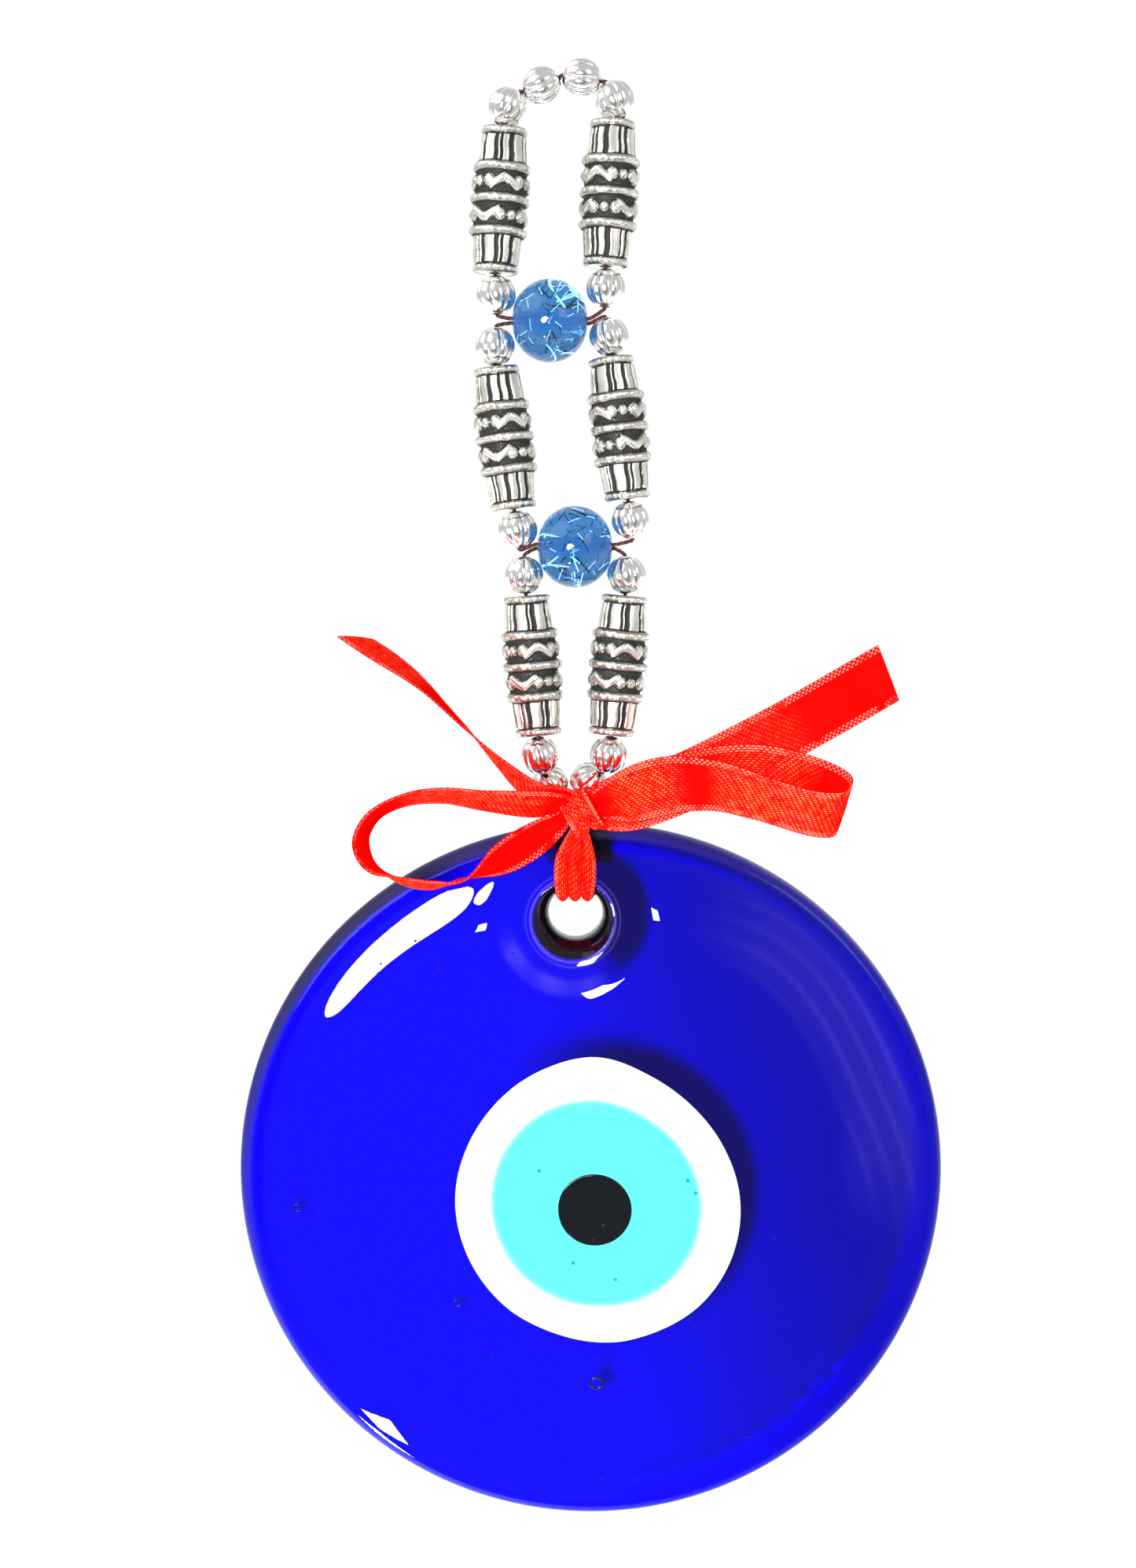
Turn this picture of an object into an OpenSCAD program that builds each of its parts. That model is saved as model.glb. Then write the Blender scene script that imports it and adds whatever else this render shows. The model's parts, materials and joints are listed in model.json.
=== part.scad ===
// Evil eye wall ornament: a cobalt glass eye tied with a ribbon bow to two beaded strands.
// +Z is up, +X is to the right of someone who looks at the eye, and the eye faces -Y.
// The origin is the top of the upper thread, between the two highest beads, where a nail holds it.

/* [Beads] */
// Diameter of a ridged silver bead
melon_d = 5.4; // [5:0.1:5.4]
// Length of a ridged silver bead along its bore
melon_l = 5.1; // [4.9:0.05:5.1]
// Length of an engraved tube bead
tube_l = 19.6; // [19:0.1:19.8]
// Largest diameter of an engraved tube bead, at its middle
tube_d = 8.2; // [7.6:0.1:8.4]
// Half the length of a blue bead along its bore
blue_half = 5.2; // [5:0.1:5.2]
// How much further a blue bead reaches sideways than along its bore
blue_swell = 0.5; // [0.3:0.1:0.6]
// Bore of the silver beads
bore_d = 1.5; // [1.4:0.05:1.5]
// Bore of the blue beads, which two strands share
blue_bore_d = 1.9; // [1.8:0.1:2.2]
// Free thread between two beads
bead_gap = 0.35; // [0.35:0.05:0.5]
// Diameter of the waxed thread
thread_d = 0.5; // [0.4:0.05:0.5]

/* [Glass eye] */
// Diameter of the cobalt disc
disc_d = 101; // [98:0.5:101]
// Thickness of the cobalt disc
disc_t = 7.5; // [7:0.1:7.5]
// Rounding of the disc's rim
rim_r = 2.6; // [1.5:0.1:3]
// Diameter of the hole that the ribbon goes through
hole_d = 7.6; // [7.6:0.1:8]
// Diameter of the hole's funnel at the front face
funnel_d = 11.6; // [10:0.1:12]
// Depth of the hole's funnel
funnel_depth = 3.4; // [2:0.1:4]
// Diameter of the white glass
white_d = 41; // [38:0.5:42]
// Diameter of the turquoise glass
turquoise_d = 29.4; // [26:0.2:31]
// Diameter of the black pupil
pupil_d = 10.4; // [9:0.2:12]
// How far each glass layer stands above the one that it is pressed into
layer_rise = 0.25; // [0.1:0.05:0.4]

/* [Ribbon] */
// Width of the satin ribbon
ribbon_w = 8.2; // [7:0.1:8.4]
// Thickness of one layer of the ribbon's solid
ribbon_t = 0.6; // [0.4:0.1:0.7]
// Width of the gathered ribbon in the hole
gather_w = 2.6; // [2:0.1:2.6]
// Thickness of the gathered ribbon in the hole
gather_t = 1.1; // [0.8:0.1:1.1]
// Radius of the knot
knot_r = 2.4; // [2:0.1:2.5]

/* [Hidden] */
$fn = 64;
slack = 0.05;

// Where things are, in the XZ plane of the strands
blue_upper = [-1.5, 0, -33];
blue_lower = [2, 0, -64.1];
disc_y = 1.6;
disc_c = [4.3, disc_y, -153.6];
hole_c = [2.1, disc_y, -115.9];
funnel_c = [1.7, disc_y, -116.6];
white_c = [5.1, disc_y, -156.3];
turquoise_c = [5, disc_y, -156.9];
pupil_c = [4.8, disc_y, -157.8];
knot_c = [2.7, -4.2, -100.9];
white_depth = 2;
turquoise_depth = 1.2;
pupil_depth = 0.7;

// A strand is [start, free thread before its first bead, rows]. A row is a bead's kind, the
// heading of the thread that comes to it, the bead's own lean, and how far back each of those two
// tips. Headings and leans are degrees from straight down, and more is further to the right.
hang_gap = 0.35;
blue_end = [blue_half, 0, 0];
upper_left = [[0, 0, 0], hang_gap, [["melon", -63, -71, 0, 0], ["melon", -59, -28, 0, 0],
  ["tube", -5, -4, 0, 0], ["melon", -2.5, 4, 0, 0]]];
upper_right = [[0, 0, 0], hang_gap, [["melon", 86, 80, 0, 0], ["melon", 57, 17, 0, 0],
  ["tube", -3.5, -3, 0, 0], ["melon", -2, -4, 0, 0]]];
middle_left = [blue_upper - blue_end, 1.7,
  [["melon", -34, -4, 0, 0], ["tube", 6, 7, 0, 0], ["melon", 8, 6, 0, 0]]];
middle_right = [blue_upper + blue_end, 1.15,
  [["melon", 54, 12, 0, 0], ["tube", 6.5, 7, 0, 0], ["melon", 7.3, 4, 0, 0]]];
lower_left = [blue_lower - blue_end, 1.85, [["melon", -26, -2, 0, 0], ["tube", 5.3, 5, 0, 0],
  ["melon", 4.5, 8, 0, 14], ["melon", 18, 34, 35, 25]]];
lower_right = [blue_lower + blue_end, 1.85, [["melon", 27, 6, 0, 0], ["tube", -5.3, -5.5, 0, 0],
  ["melon", -5.7, -10, 0, 12], ["melon", -36, -46, 29, 25]]];
STRANDS = [upper_left, upper_right, middle_left, middle_right, lower_left, lower_right];

// Ribbon routes: a point, and how far the ribbon's width turns from its strand's reference
depth_ref = [0, 1, 0];
height_ref = [0, 0, 1];
hole_loop_route = [
  [2.6, -3.4, -103.2, 0], [2.4, -3.2, -105.5, 0], [2.2, -3.1, -109, 0], [2.1, -2.9, -112, 0],
  [2.1, -1.2, -113.2, 0], [2.1, 1.6, -113.4, 0], [2.1, 4.6, -113.4, 0], [2.1, 6.2, -112.9, 0],
  [2.1, 6.4, -110.5, 0], [2, 6.2, -107.5, 0], [1.8, 6, -104.4, 0], [1.6, 4.9, -102.2, 0],
  [1.6, 2.6, -101.2, 0], [1.8, 0, -101.1, 0], [2.2, -2, -101, 0]];
loop_left_route = [
  [0.4, -5.2, -99.9, 35], [-4, -7, -99.8, 32], [-10, -9.5, -98.9, 27], [-16, -11.5, -98, 21],
  [-21, -12.5, -98.5, 16], [-25.2, -12.5, -100.6, 15], [-27, -12, -104, 13],
  [-25.8, -11.4, -107.4, 4], [-22, -10.6, -109.6, -15], [-17.6, -9.9, -110.5, -18],
  [-13.4, -9.2, -109.7, -7], [-8.6, -8.2, -107.2, -34], [-4.4, -7, -104.8, -42],
  [-0.2, -5.6, -102, -40]];
tail_left_route = [
  [1.2, -3.8, -98.8, 20], [-3.6, -5.2, -98.2, 26], [-8.4, -5.8, -94, 13],
  [-13.6, -6, -88.6, 0], [-20, -5.6, -82.4, -8], [-28.2, -4.8, -76.8, -12]];
loop_right_route = [
  [5, -5.2, -100, 10], [9.4, -7.6, -98.4, 8], [15, -10.4, -96.6, 14], [21, -12.6, -96.6, 28],
  [27, -13.4, -98.2, 38], [33, -13, -100, 42], [37, -11.2, -100.6, 36],
  [38.8, -8.6, -99.9, 16], [37.2, -5.8, -98.4, 10], [32.4, -4.9, -96.6, 4],
  [26, -4.6, -95.6, -2], [18, -4.6, -96.6, 0], [10, -4.5, -98.4, 6], [5, -4.3, -99.4, 10]];
tail_right_route = [
  [5.2, -3.2, -101.4, 90], [10, -3.2, -100, 90], [20, -3.2, -95.6, 90], [32, -3.2, -89.4, 90],
  [45.6, -3, -81.6, 90]];
// The lowest thread dips under the gathered ribbon.
thread_bottom = [1.6, 2.6, -102.2];
thread_dip = [[3.25, 3.4, -101], [3, 2.6, -102.2], [0.2, 2.6, -102.2], [-0.1, 3.6, -101]];

// ---- places along a strand ----
function level_name(s) = ["upper", "middle", "lower"][floor(s / 2)];
function side_name(s) = s % 2 == 0 ? "left" : "right";
function kind_count(s, i) = len([for (k = [0:i]) if (STRANDS[s][2][k][0] == "melon") k]);
function bead_name(s, i) = STRANDS[s][2][i][0] == "tube"
  ? str("tube_", level_name(s), "_", side_name(s))
  : str("melon_", level_name(s), "_", side_name(s), "_", kind_count(s, i));
function along(heading, back) =
  [sin(heading) * cos(back), sin(back), -cos(heading) * cos(back)];
function half_length(row) = (row[0] == "tube" ? tube_l : melon_l) / 2;
function bead_axis(strand, i) = along(strand[2][i][2], strand[2][i][4]);
function bead_centre(strand, i) = let (row = strand[2][i], step = along(row[1], row[3]))
  i == 0 ? strand[0] + (strand[1] + half_length(row)) * step
         : bead_centre(strand, i - 1)
           + (half_length(strand[2][i - 1]) + bead_gap + half_length(row)) * step;

// The thread runs straight in each bore, and just past the mouths at a strand's two ends.
mouth = 0.1;
past = 0.3;
function in_bore(strand, i) = let (c = bead_centre(strand, i), a = bead_axis(strand, i),
                                   h = half_length(strand[2][i]) - mouth)
  [c - h * a, c + h * a];
function past_mouth(strand, i, side) =
  bead_centre(strand, i) + side * (half_length(strand[2][i]) + past) * bead_axis(strand, i);
function down_strand(strand) = [for (i = [0:len(strand[2]) - 1]) each in_bore(strand, i)];
function last(strand) = len(strand[2]) - 1;
function reversed(list) = [for (i = [len(list) - 1:-1:0]) list[i]];

// Two strands cross in a blue bead's bore, the upper one in front of the lower one.
strand_offset = 0.45;
function in_blue(c, side, before) = c + [side * (blue_half - 0.6), -before * strand_offset, 0];
function at_blue(c, side, before) = c + [side * (blue_half + 0.4), -before * strand_offset, 0];

function upper_route() = concat(
  [blue_upper + [0.1, -strand_offset, 0], in_blue(blue_upper, 1, 1), at_blue(blue_upper, 1, 1)],
  [past_mouth(upper_right, last(upper_right), 1)], reversed(down_strand(upper_right)),
  [[0, 0, 0.1]],
  down_strand(upper_left), [past_mouth(upper_left, last(upper_left), 1)],
  [at_blue(blue_upper, -1, 1), in_blue(blue_upper, -1, 1),
   blue_upper + [-0.1, -strand_offset, 0]]);
function middle_route() = concat(
  [blue_upper + [0.1, strand_offset, 0], in_blue(blue_upper, 1, -1),
   at_blue(blue_upper, 1, -1), past_mouth(middle_right, 0, -1)],
  down_strand(middle_right),
  [past_mouth(middle_right, last(middle_right), 1), at_blue(blue_lower, 1, 1),
   in_blue(blue_lower, 1, 1), in_blue(blue_lower, -1, 1), at_blue(blue_lower, -1, 1),
   past_mouth(middle_left, last(middle_left), 1)],
  reversed(down_strand(middle_left)),
  [past_mouth(middle_left, 0, -1), at_blue(blue_upper, -1, -1), in_blue(blue_upper, -1, -1),
   blue_upper + [-0.1, strand_offset, 0]]);
function lower_route() = concat(
  [blue_lower + [0.1, strand_offset, 0], in_blue(blue_lower, 1, -1),
   at_blue(blue_lower, 1, -1), past_mouth(lower_right, 0, -1)],
  down_strand(lower_right), thread_dip, reversed(down_strand(lower_left)),
  [past_mouth(lower_left, 0, -1), at_blue(blue_lower, -1, -1), in_blue(blue_lower, -1, -1),
   blue_lower + [-0.1, strand_offset, 0]]);

// ---- sweeping an outline along a route ----
function unit(v) = v / norm(v);
function tangent(p, i) = unit(p[min(i + 1, len(p) - 1)] - p[max(i - 1, 0)]);
function across(t, ref, turn) = let (u = unit(ref - (ref * t) * t))
  cos(turn) * u + sin(turn) * cross(t, u);
function ring(p, t, w, outline) = [for (q = outline) p + q[0] * w + q[1] * cross(t, w)];
function ring_faces(rings, sides) = concat(
  [for (r = [0:rings - 2]) for (k = [0:sides - 1])
    let (n = (k + 1) % sides, here = r * sides, next = here + sides)
    each [[here + k, here + n, next + n], [here + k, next + n, next + k]]],
  [[for (k = [sides - 1:-1:0]) k]],
  [[for (k = [0:sides - 1]) (rings - 1) * sides + k]]);

// A round thread, whose rings turn as little as they can from one to the next
thread_outline = [for (k = [0:7]) thread_d / 2 * [cos(45 * k), sin(45 * k)]];
module thread(route) {
  rings = [for (i = [0:len(route) - 1]) let (t = tangent(route, i))
    each ring(route[i], t, across(t, depth_ref, 0), thread_outline)];
  polyhedron(points = rings, faces = ring_faces(len(route), 8), convexity = 10);
}

// A flat ribbon with softened edges
function flat_outline(w, t) = let (a = w / 2, b = a - t / 2, c = t / 2, d = t / 5)
  [[a, -d], [a, d], [b, c], [-b, c], [-a, d], [-a, -d], [-b, -c], [b, -c]];
module ribbon(route, ref, w, t) {
  centre = [for (q = route) [q[0], q[1], q[2]]];
  rings = [for (i = [0:len(route) - 1]) let (s = tangent(centre, i))
    each ring(centre[i], s, across(s, ref, route[i][3]), flat_outline(w, t))];
  polyhedron(points = rings, faces = ring_faces(len(route), 8), convexity = 10);
}

// ---- beads ----
module place(p, axis) {
  translate(p) rotate([0, acos(axis[2]), atan2(axis[1], axis[0])]) children();
}

module melon_bead() {
  difference() {
    intersection() {
      sphere(d = melon_d);
      cylinder(h = melon_l, d = 2 * melon_d, center = true);
    }
    cylinder(h = melon_l + 1, d = bore_d, center = true);
  }
}

// How far the bore of a tube bead widens at its mouths
flare = 0.2;
// Bands of the tube bead from one end to the other: how long each is, and its diameter
collar = [1.1, 0.73];
column = [4.7, 0.83];
band_ring = [0.8, 0.97];
frieze = [2.65, 1];
TUBE_BANDS = [collar, column, band_ring, frieze, band_ring, frieze, band_ring, column, collar];
function band_start(i) = i == 0 ? 0 : band_start(i - 1) + TUBE_BANDS[i - 1][0];
function band_height(i) = (band_start(i) / band_start(len(TUBE_BANDS)) - 0.5) * tube_l;
module tube_bead() {
  outside = [for (i = [0:len(TUBE_BANDS) - 1]) for (end = [i, i + 1])
    [TUBE_BANDS[i][1] * tube_d / 2, band_height(end)]];
  inside = [for (q = [[flare, 0.5], [0, 0.5 - flare / tube_l], [0, flare / tube_l - 0.5],
                      [flare, -0.5]]) [bore_d / 2 + q[0], q[1] * tube_l]];
  rotate_extrude() polygon(concat(outside, inside));
}

module strand_bead(s, i) {
  place(bead_centre(STRANDS[s], i), bead_axis(STRANDS[s], i)) color("silver")
    if (STRANDS[s][2][i][0] == "tube") tube_bead();
    else melon_bead();
}

module blue_bead(c) {
  color("royalblue") translate(c) rotate([0, 90, 0]) rotate_extrude() difference() {
    intersection() {
      translate([blue_swell, 0]) circle(r = blue_half);
      translate([0, -blue_half]) square([2 * blue_half, 2 * blue_half]);
    }
    translate([0, -blue_half - 1]) square([blue_bore_d / 2, 2 * blue_half + 2]);
  }
}
module blue_bead_upper() { blue_bead(blue_upper); }
module blue_bead_lower() { blue_bead(blue_lower); }

// ---- threads ----
module upper_thread() { color("darkred") thread(upper_route()); }
module middle_thread() { color("darkred") thread(middle_route()); }
module lower_thread() { color("darkred") thread(lower_route()); }

// ---- glass eye: local +Z is the front ----
module facing(c) { translate(c) rotate([90, 0, 0]) children(); }
front = disc_t / 2;

module disc_blank() {
  flat_r = disc_d / 2 - rim_r;
  flat_h = disc_t / 2 - rim_r;
  rotate_extrude($fn = 128) {
    translate([0, -disc_t / 2]) square([flat_r, disc_t]);
    translate([0, -flat_h]) square([disc_d / 2, 2 * flat_h]);
    for (z = [-flat_h, flat_h]) intersection() {
      translate([flat_r, z]) circle(r = rim_r);
      translate([0, -disc_t]) square([disc_d, 2 * disc_t]);
    }
  }
}

module glass_disc() {
  color("mediumblue") difference() {
    facing(disc_c) disc_blank();
    facing(hole_c) cylinder(h = 2 * disc_t, d = hole_d, center = true);
    facing(funnel_c) translate([0, 0, front - funnel_depth])
      cylinder(h = funnel_depth + slack, d1 = hole_d - 1.6, d2 = funnel_d);
    facing(white_c) translate([0, 0, front - white_depth]) cylinder(h = 5, d = white_d);
  }
}
module white_glass() {
  color("white") difference() {
    facing(white_c) translate([0, 0, front - white_depth])
      cylinder(h = white_depth + layer_rise, d = white_d);
    facing(turquoise_c) translate([0, 0, front + layer_rise - turquoise_depth])
      cylinder(h = 5, d = turquoise_d);
  }
}
module turquoise_glass() {
  color("turquoise") difference() {
    facing(turquoise_c) translate([0, 0, front + layer_rise - turquoise_depth])
      cylinder(h = turquoise_depth + layer_rise, d = turquoise_d);
    facing(pupil_c) translate([0, 0, front + 2 * layer_rise - pupil_depth])
      cylinder(h = 5, d = pupil_d);
  }
}
module pupil_glass() {
  color("black") facing(pupil_c) translate([0, 0, front + 2 * layer_rise - pupil_depth])
    cylinder(h = pupil_depth + layer_rise, d = pupil_d);
}

// ---- ribbon ----
module ribbon_knot() {
  color("red") translate(knot_c) intersection() {
    rotate([0, 90, 0]) cylinder(h = 2 * knot_r, r = knot_r, center = true);
    sphere(r = knot_r * 1.15);
  }
}
module ribbon_hole_loop() { color("red") ribbon(hole_loop_route, [1, 0, 0], gather_w, gather_t); }
module ribbon_loop_left() { color("red") ribbon(loop_left_route, depth_ref, ribbon_w, ribbon_t); }
module ribbon_loop_right() {
  color("red") ribbon(loop_right_route, height_ref, ribbon_w, ribbon_t);
}
module ribbon_tail_left() { color("red") ribbon(tail_left_route, depth_ref, ribbon_w, ribbon_t); }
module ribbon_tail_right() {
  color("red") ribbon(tail_right_route, depth_ref, ribbon_w, ribbon_t);
}

for (s = [0:5]) for (i = [0:len(STRANDS[s][2]) - 1])
  strand_bead(s, i);
blue_bead_upper();
blue_bead_lower();
upper_thread();
middle_thread();
lower_thread();
glass_disc();
white_glass();
turquoise_glass();
pupil_glass();
ribbon_knot();
ribbon_hole_loop();
ribbon_loop_left();
ribbon_loop_right();
ribbon_tail_left();
ribbon_tail_right();
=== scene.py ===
"""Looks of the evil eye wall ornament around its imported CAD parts. Lengths in the tables are millimetres."""

import json
import math
import random

import bpy
import bmesh
import numpy as np
from mathutils import Matrix, Vector


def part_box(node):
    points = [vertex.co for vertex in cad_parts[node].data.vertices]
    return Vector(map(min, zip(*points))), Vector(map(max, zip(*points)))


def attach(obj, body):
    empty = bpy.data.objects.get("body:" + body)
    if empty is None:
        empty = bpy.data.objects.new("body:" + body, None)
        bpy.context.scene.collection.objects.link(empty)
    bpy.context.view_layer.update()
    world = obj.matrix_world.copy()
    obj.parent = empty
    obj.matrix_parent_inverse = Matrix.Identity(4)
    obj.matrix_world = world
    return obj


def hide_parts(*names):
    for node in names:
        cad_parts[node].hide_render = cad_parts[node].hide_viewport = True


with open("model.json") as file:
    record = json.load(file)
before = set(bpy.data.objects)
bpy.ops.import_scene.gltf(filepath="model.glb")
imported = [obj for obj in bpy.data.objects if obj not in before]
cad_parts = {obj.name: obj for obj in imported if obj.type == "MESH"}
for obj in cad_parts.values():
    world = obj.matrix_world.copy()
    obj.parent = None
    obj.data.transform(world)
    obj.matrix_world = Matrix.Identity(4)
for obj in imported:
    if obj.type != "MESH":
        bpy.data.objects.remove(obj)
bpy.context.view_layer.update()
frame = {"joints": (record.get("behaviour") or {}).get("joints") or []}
MM = 0.001
joints = {j["name"]: j for j in frame["joints"]}


def middle(node):
    """The middle of a CAD node's box, in millimetres."""
    low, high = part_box(node)
    return np.array(low + high) / 2 / MM


# ---------------------------------------------------------------- camera
camera_data = bpy.data.cameras.new("camera")
camera = bpy.data.objects.new("camera", camera_data)
bpy.context.scene.collection.objects.link(camera)
bpy.context.scene.camera = camera
pitch = math.radians(5)
target = Vector((1.02, 0, -97.4)) * MM
camera.location = target + 300 * MM * Vector((0, -math.cos(pitch), math.sin(pitch)))
camera.rotation_euler = (math.pi / 2 - pitch, 0, 0)
camera_data.sensor_fit = "VERTICAL"
camera_data.sensor_height = 36
camera_data.lens = 48.8
camera_data.clip_start = 0.01


# ---------------------------------------------------------------- mesh helpers
def mesh_object(name, points_mm, faces, smooth=True):
    """A mesh object from points in millimetres, with its normals outwards."""
    mesh = bpy.data.meshes.new(name)
    mesh.from_pydata([tuple(p) for p in np.asarray(points_mm, float) * MM], [], faces)
    b = bmesh.new()
    b.from_mesh(mesh)
    bmesh.ops.recalc_face_normals(b, faces=b.faces)
    b.to_mesh(mesh)
    b.free()
    mesh.polygons.foreach_set("use_smooth", [smooth] * len(mesh.polygons))
    mesh.update()
    o = bpy.data.objects.new(name, mesh)
    bpy.context.scene.collection.objects.link(o)
    return o


def grid_faces(rings, sides, closed):
    """Faces of a tube of rings of points, closed on itself or capped at both ends."""
    faces = []
    for r in range(rings if closed else rings - 1):
        here, there = r * sides, (r + 1) % rings * sides
        for k in range(sides):
            n = (k + 1) % sides
            faces.append((here + k, here + n, there + n, there + k))
    if not closed:
        faces.append(tuple(range(sides)))
        faces.append(tuple(range((rings - 1) * sides, rings * sides)))
    return faces


def set_values(o, name, values):
    """One number for each vertex, which a material reads."""
    a = o.data.attributes.new(name, "FLOAT", "POINT")
    a.data.foreach_set("value", np.asarray(values, np.float32).ravel())


def unit(v):
    return v / np.maximum(np.linalg.norm(v, axis=-1, keepdims=True), 1e-9)


def smoothstep(low, high, x):
    t = np.clip((np.asarray(x, float) - low) / (high - low), 0, 1)
    return t * t * (3 - 2 * t)


def through(points, step):
    """A smooth line through the points, in steps of about that length. It works on any number of columns."""
    p = np.asarray(points, float)
    p = np.vstack([2 * p[0] - p[1], p, 2 * p[-1] - p[-2]])
    out = []
    for i in range(1, len(p) - 2):
        a, b, c, d = p[i - 1 : i + 3]
        n = max(2, int(np.linalg.norm(c[:3] - b[:3]) / step))
        t = np.linspace(0, 1, n, endpoint=False)[:, None]
        out.append(
            0.5 * (2 * b + (c - a) * t + (2 * a - 5 * b + 4 * c - d) * t**2 + (3 * b - a - 3 * c + d) * t**3)
        )
    return np.vstack(out + [p[-2:-1]])


def finish_piece(o, body, nodes=(), material=None):
    """The piece rides on a body, has a material and stands for CAD nodes."""
    if material:
        o.data.materials.clear()
        o.data.materials.append(material)
    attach(o, body)
    if nodes:
        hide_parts(*nodes)
    return o


# ---------------------------------------------------------------- material helpers
class Shader:
    """A short way to write a material's nodes."""

    def __init__(self, name):
        self.material = bpy.data.materials.new(name)
        self.material.use_nodes = True
        self.tree = self.material.node_tree
        self.surface = self.tree.nodes["Principled BSDF"]

    def put(self, socket, value):
        if isinstance(value, bpy.types.NodeSocket):
            self.tree.links.new(value, socket)
        elif isinstance(value, (tuple, list)) and len(value) == 3 and socket.type == "RGBA":
            socket.default_value = (*value, 1)
        else:
            socket.default_value = value

    def set(self, **values):
        for name, value in values.items():
            self.put(self.surface.inputs[name.replace("_", " ")], value)

    def node(self, kind, inputs=(), output=0, **settings):
        n = self.tree.nodes.new("ShaderNode" + kind)
        for k, v in settings.items():
            setattr(n, k, v)
        for k, v in dict(inputs).items():
            self.put(n.inputs[k], v)
        return n.outputs[output]

    def math(self, operation, *values, clamp=False):
        return self.node("Math", dict(enumerate(values)), operation=operation, use_clamp=clamp)

    def value(self, name):
        return self.node("Attribute", output="Fac", attribute_name=name)

    def step(self, low, high, x):
        return self.node(
            "MapRange", {"Value": x, "From Min": low, "From Max": high}, interpolation_type="SMOOTHSTEP"
        )

    def mix(self, factor, a, b):
        n = self.tree.nodes.new("ShaderNodeMix")
        n.data_type = "RGBA"
        self.put(n.inputs[0], factor)
        self.put(n.inputs[6], a)
        self.put(n.inputs[7], b)
        return n.outputs[2]

    def place(self):
        return self.node("TexCoord", output="Object")

    def noise(self, scale, detail, roughness=0.5):
        inputs = {"Vector": self.place(), "Scale": scale, "Detail": detail, "Roughness": roughness}
        return self.node("TexNoise", inputs, output="Fac")

    def bump(self, height, distance, strength):
        return self.node("Bump", {"Height": height, "Distance": distance * MM, "Strength": strength})


# ---------------------------------------------------------------- materials
def satin_material():
    s = Shader("red_satin")
    across, along = s.value("across_mm"), s.value("along_mm")
    edge, glint = s.value("edge_mm"), s.value("glint")
    lane = s.math("DIVIDE", across, 0.34)
    row = s.math("FLOOR", lane)
    in_lane = s.math("ABSOLUTE", s.math("SUBTRACT", s.math("FRACT", lane), 0.5))
    dash = s.math("FRACT", s.math("ADD", s.math("DIVIDE", along, 0.8), s.math("MULTIPLY", row, 0.37)))
    dash = s.math("ABSOLUTE", s.math("SUBTRACT", dash, 0.5))
    line = s.math("MULTIPLY", s.step(0.34, 0.14, in_lane), s.step(0.42, 0.2, dash))
    patchy = s.step(0.3, 0.75, s.noise(900, 4, roughness=0.7))
    # painted glints: fine dashes of the weave, by the value "glint", painted orange-white where light grazes
    # the satin
    painted_glints = s.math("MULTIPLY", s.math("MULTIPLY", line, glint), patchy)
    knit = s.math("FRACT", s.math("ADD", s.math("DIVIDE", along, 0.66), s.math("MULTIPLY", row, 0.5)))
    knit = s.math("ABSOLUTE", s.math("SUBTRACT", knit, 0.5))
    knit = s.math("MULTIPLY", s.step(0.34, 0.16, knit), s.step(0.4, 0.2, in_lane))
    border = s.math("MULTIPLY", s.step(1.0, 0.85, edge), knit)
    border = s.math("MULTIPLY", border, s.step(0.36, 0.52, s.noise(420, 3)))
    shade = s.noise(160, 3)
    red = s.mix(shade, (0.8, 0.001, 0.001), (0.95, 0.003, 0.002))
    red = s.mix(s.math("MULTIPLY", painted_glints, 0.9), red, (1.0, 0.4, 0.16))
    red = s.mix(s.math("MULTIPLY", border, 0.6), red, (1.0, 0.5, 0.38))
    weft = s.math("SINE", s.math("MULTIPLY", along, 38))
    height = s.math("ADD", s.math("MULTIPLY", weft, 0.35), s.math("ADD", line, knit))
    s.set(
        Base_Color=red,
        Roughness=0.5,
        Specular_IOR_Level=0.0,
        # a faint red emission: painted light that brightens the ribbon's shaded sides
        Emission_Color=(1.0, 0.004, 0.002),
        Emission_Strength=0.16,
        Normal=s.bump(height, 0.03, 0.5),
    )
    return s.material


def silver_material(name, aged):
    """Bright plating whose low places, by the value "relief", are dark with age."""
    s = Shader(name)
    relief = s.value("relief")
    fine = s.noise(2600, 3)
    pits = s.step(0.66, 0.72, s.noise(1500, 4, roughness=0.7))
    low = s.math("ADD", relief, s.math("MULTIPLY", s.math("SUBTRACT", fine, 0.5), 0.5))
    bright = s.step(0.30, 0.5, low)
    if aged:
        bright = s.math("MULTIPLY", bright, s.math("SUBTRACT", 1, s.math("MULTIPLY", pits, 0.75)))
        warm = s.mix(s.step(0.4, 0.6, s.noise(420, 2)), (0.95, 0.93, 0.88), (0.8, 0.79, 0.72))
        worn = s.math("ADD", relief, s.math("MULTIPLY", s.math("SUBTRACT", s.noise(700, 3), 0.5), 0.5))
        warm = s.mix(s.step(0.62, 0.9, worn), (0.4, 0.4, 0.33), warm)
    else:
        warm = s.mix(s.step(0.4, 0.6, s.noise(300, 2)), (0.95, 0.94, 0.92), (0.88, 0.87, 0.86))
    s.set(
        Base_Color=s.mix(bright, (0.026, 0.023, 0.024), warm),
        Metallic=s.math("ADD", 0.35, s.math("MULTIPLY", bright, 0.65)),
        Roughness=s.math("SUBTRACT", 0.6, s.math("MULTIPLY", bright, 0.3 if aged else 0.42)),
        Normal=s.bump(
            s.math("SUBTRACT", s.noise(900, 3), s.math("MULTIPLY", pits, 0.8)), 0.06 if aged else 0.01, 0.6
        ),
    )
    return s.material


def thread_material():
    s = Shader("red_thread")
    lay = s.math("SINE", s.value("twist"))
    colour = s.mix(s.step(-0.6, 0.8, lay), (0.02, 0.001, 0.002), (0.16, 0.006, 0.008))
    s.set(Base_Color=colour, Roughness=0.5, Sheen_Weight=0.3, Normal=s.bump(lay, 0.06, 0.9))
    return s.material


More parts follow.
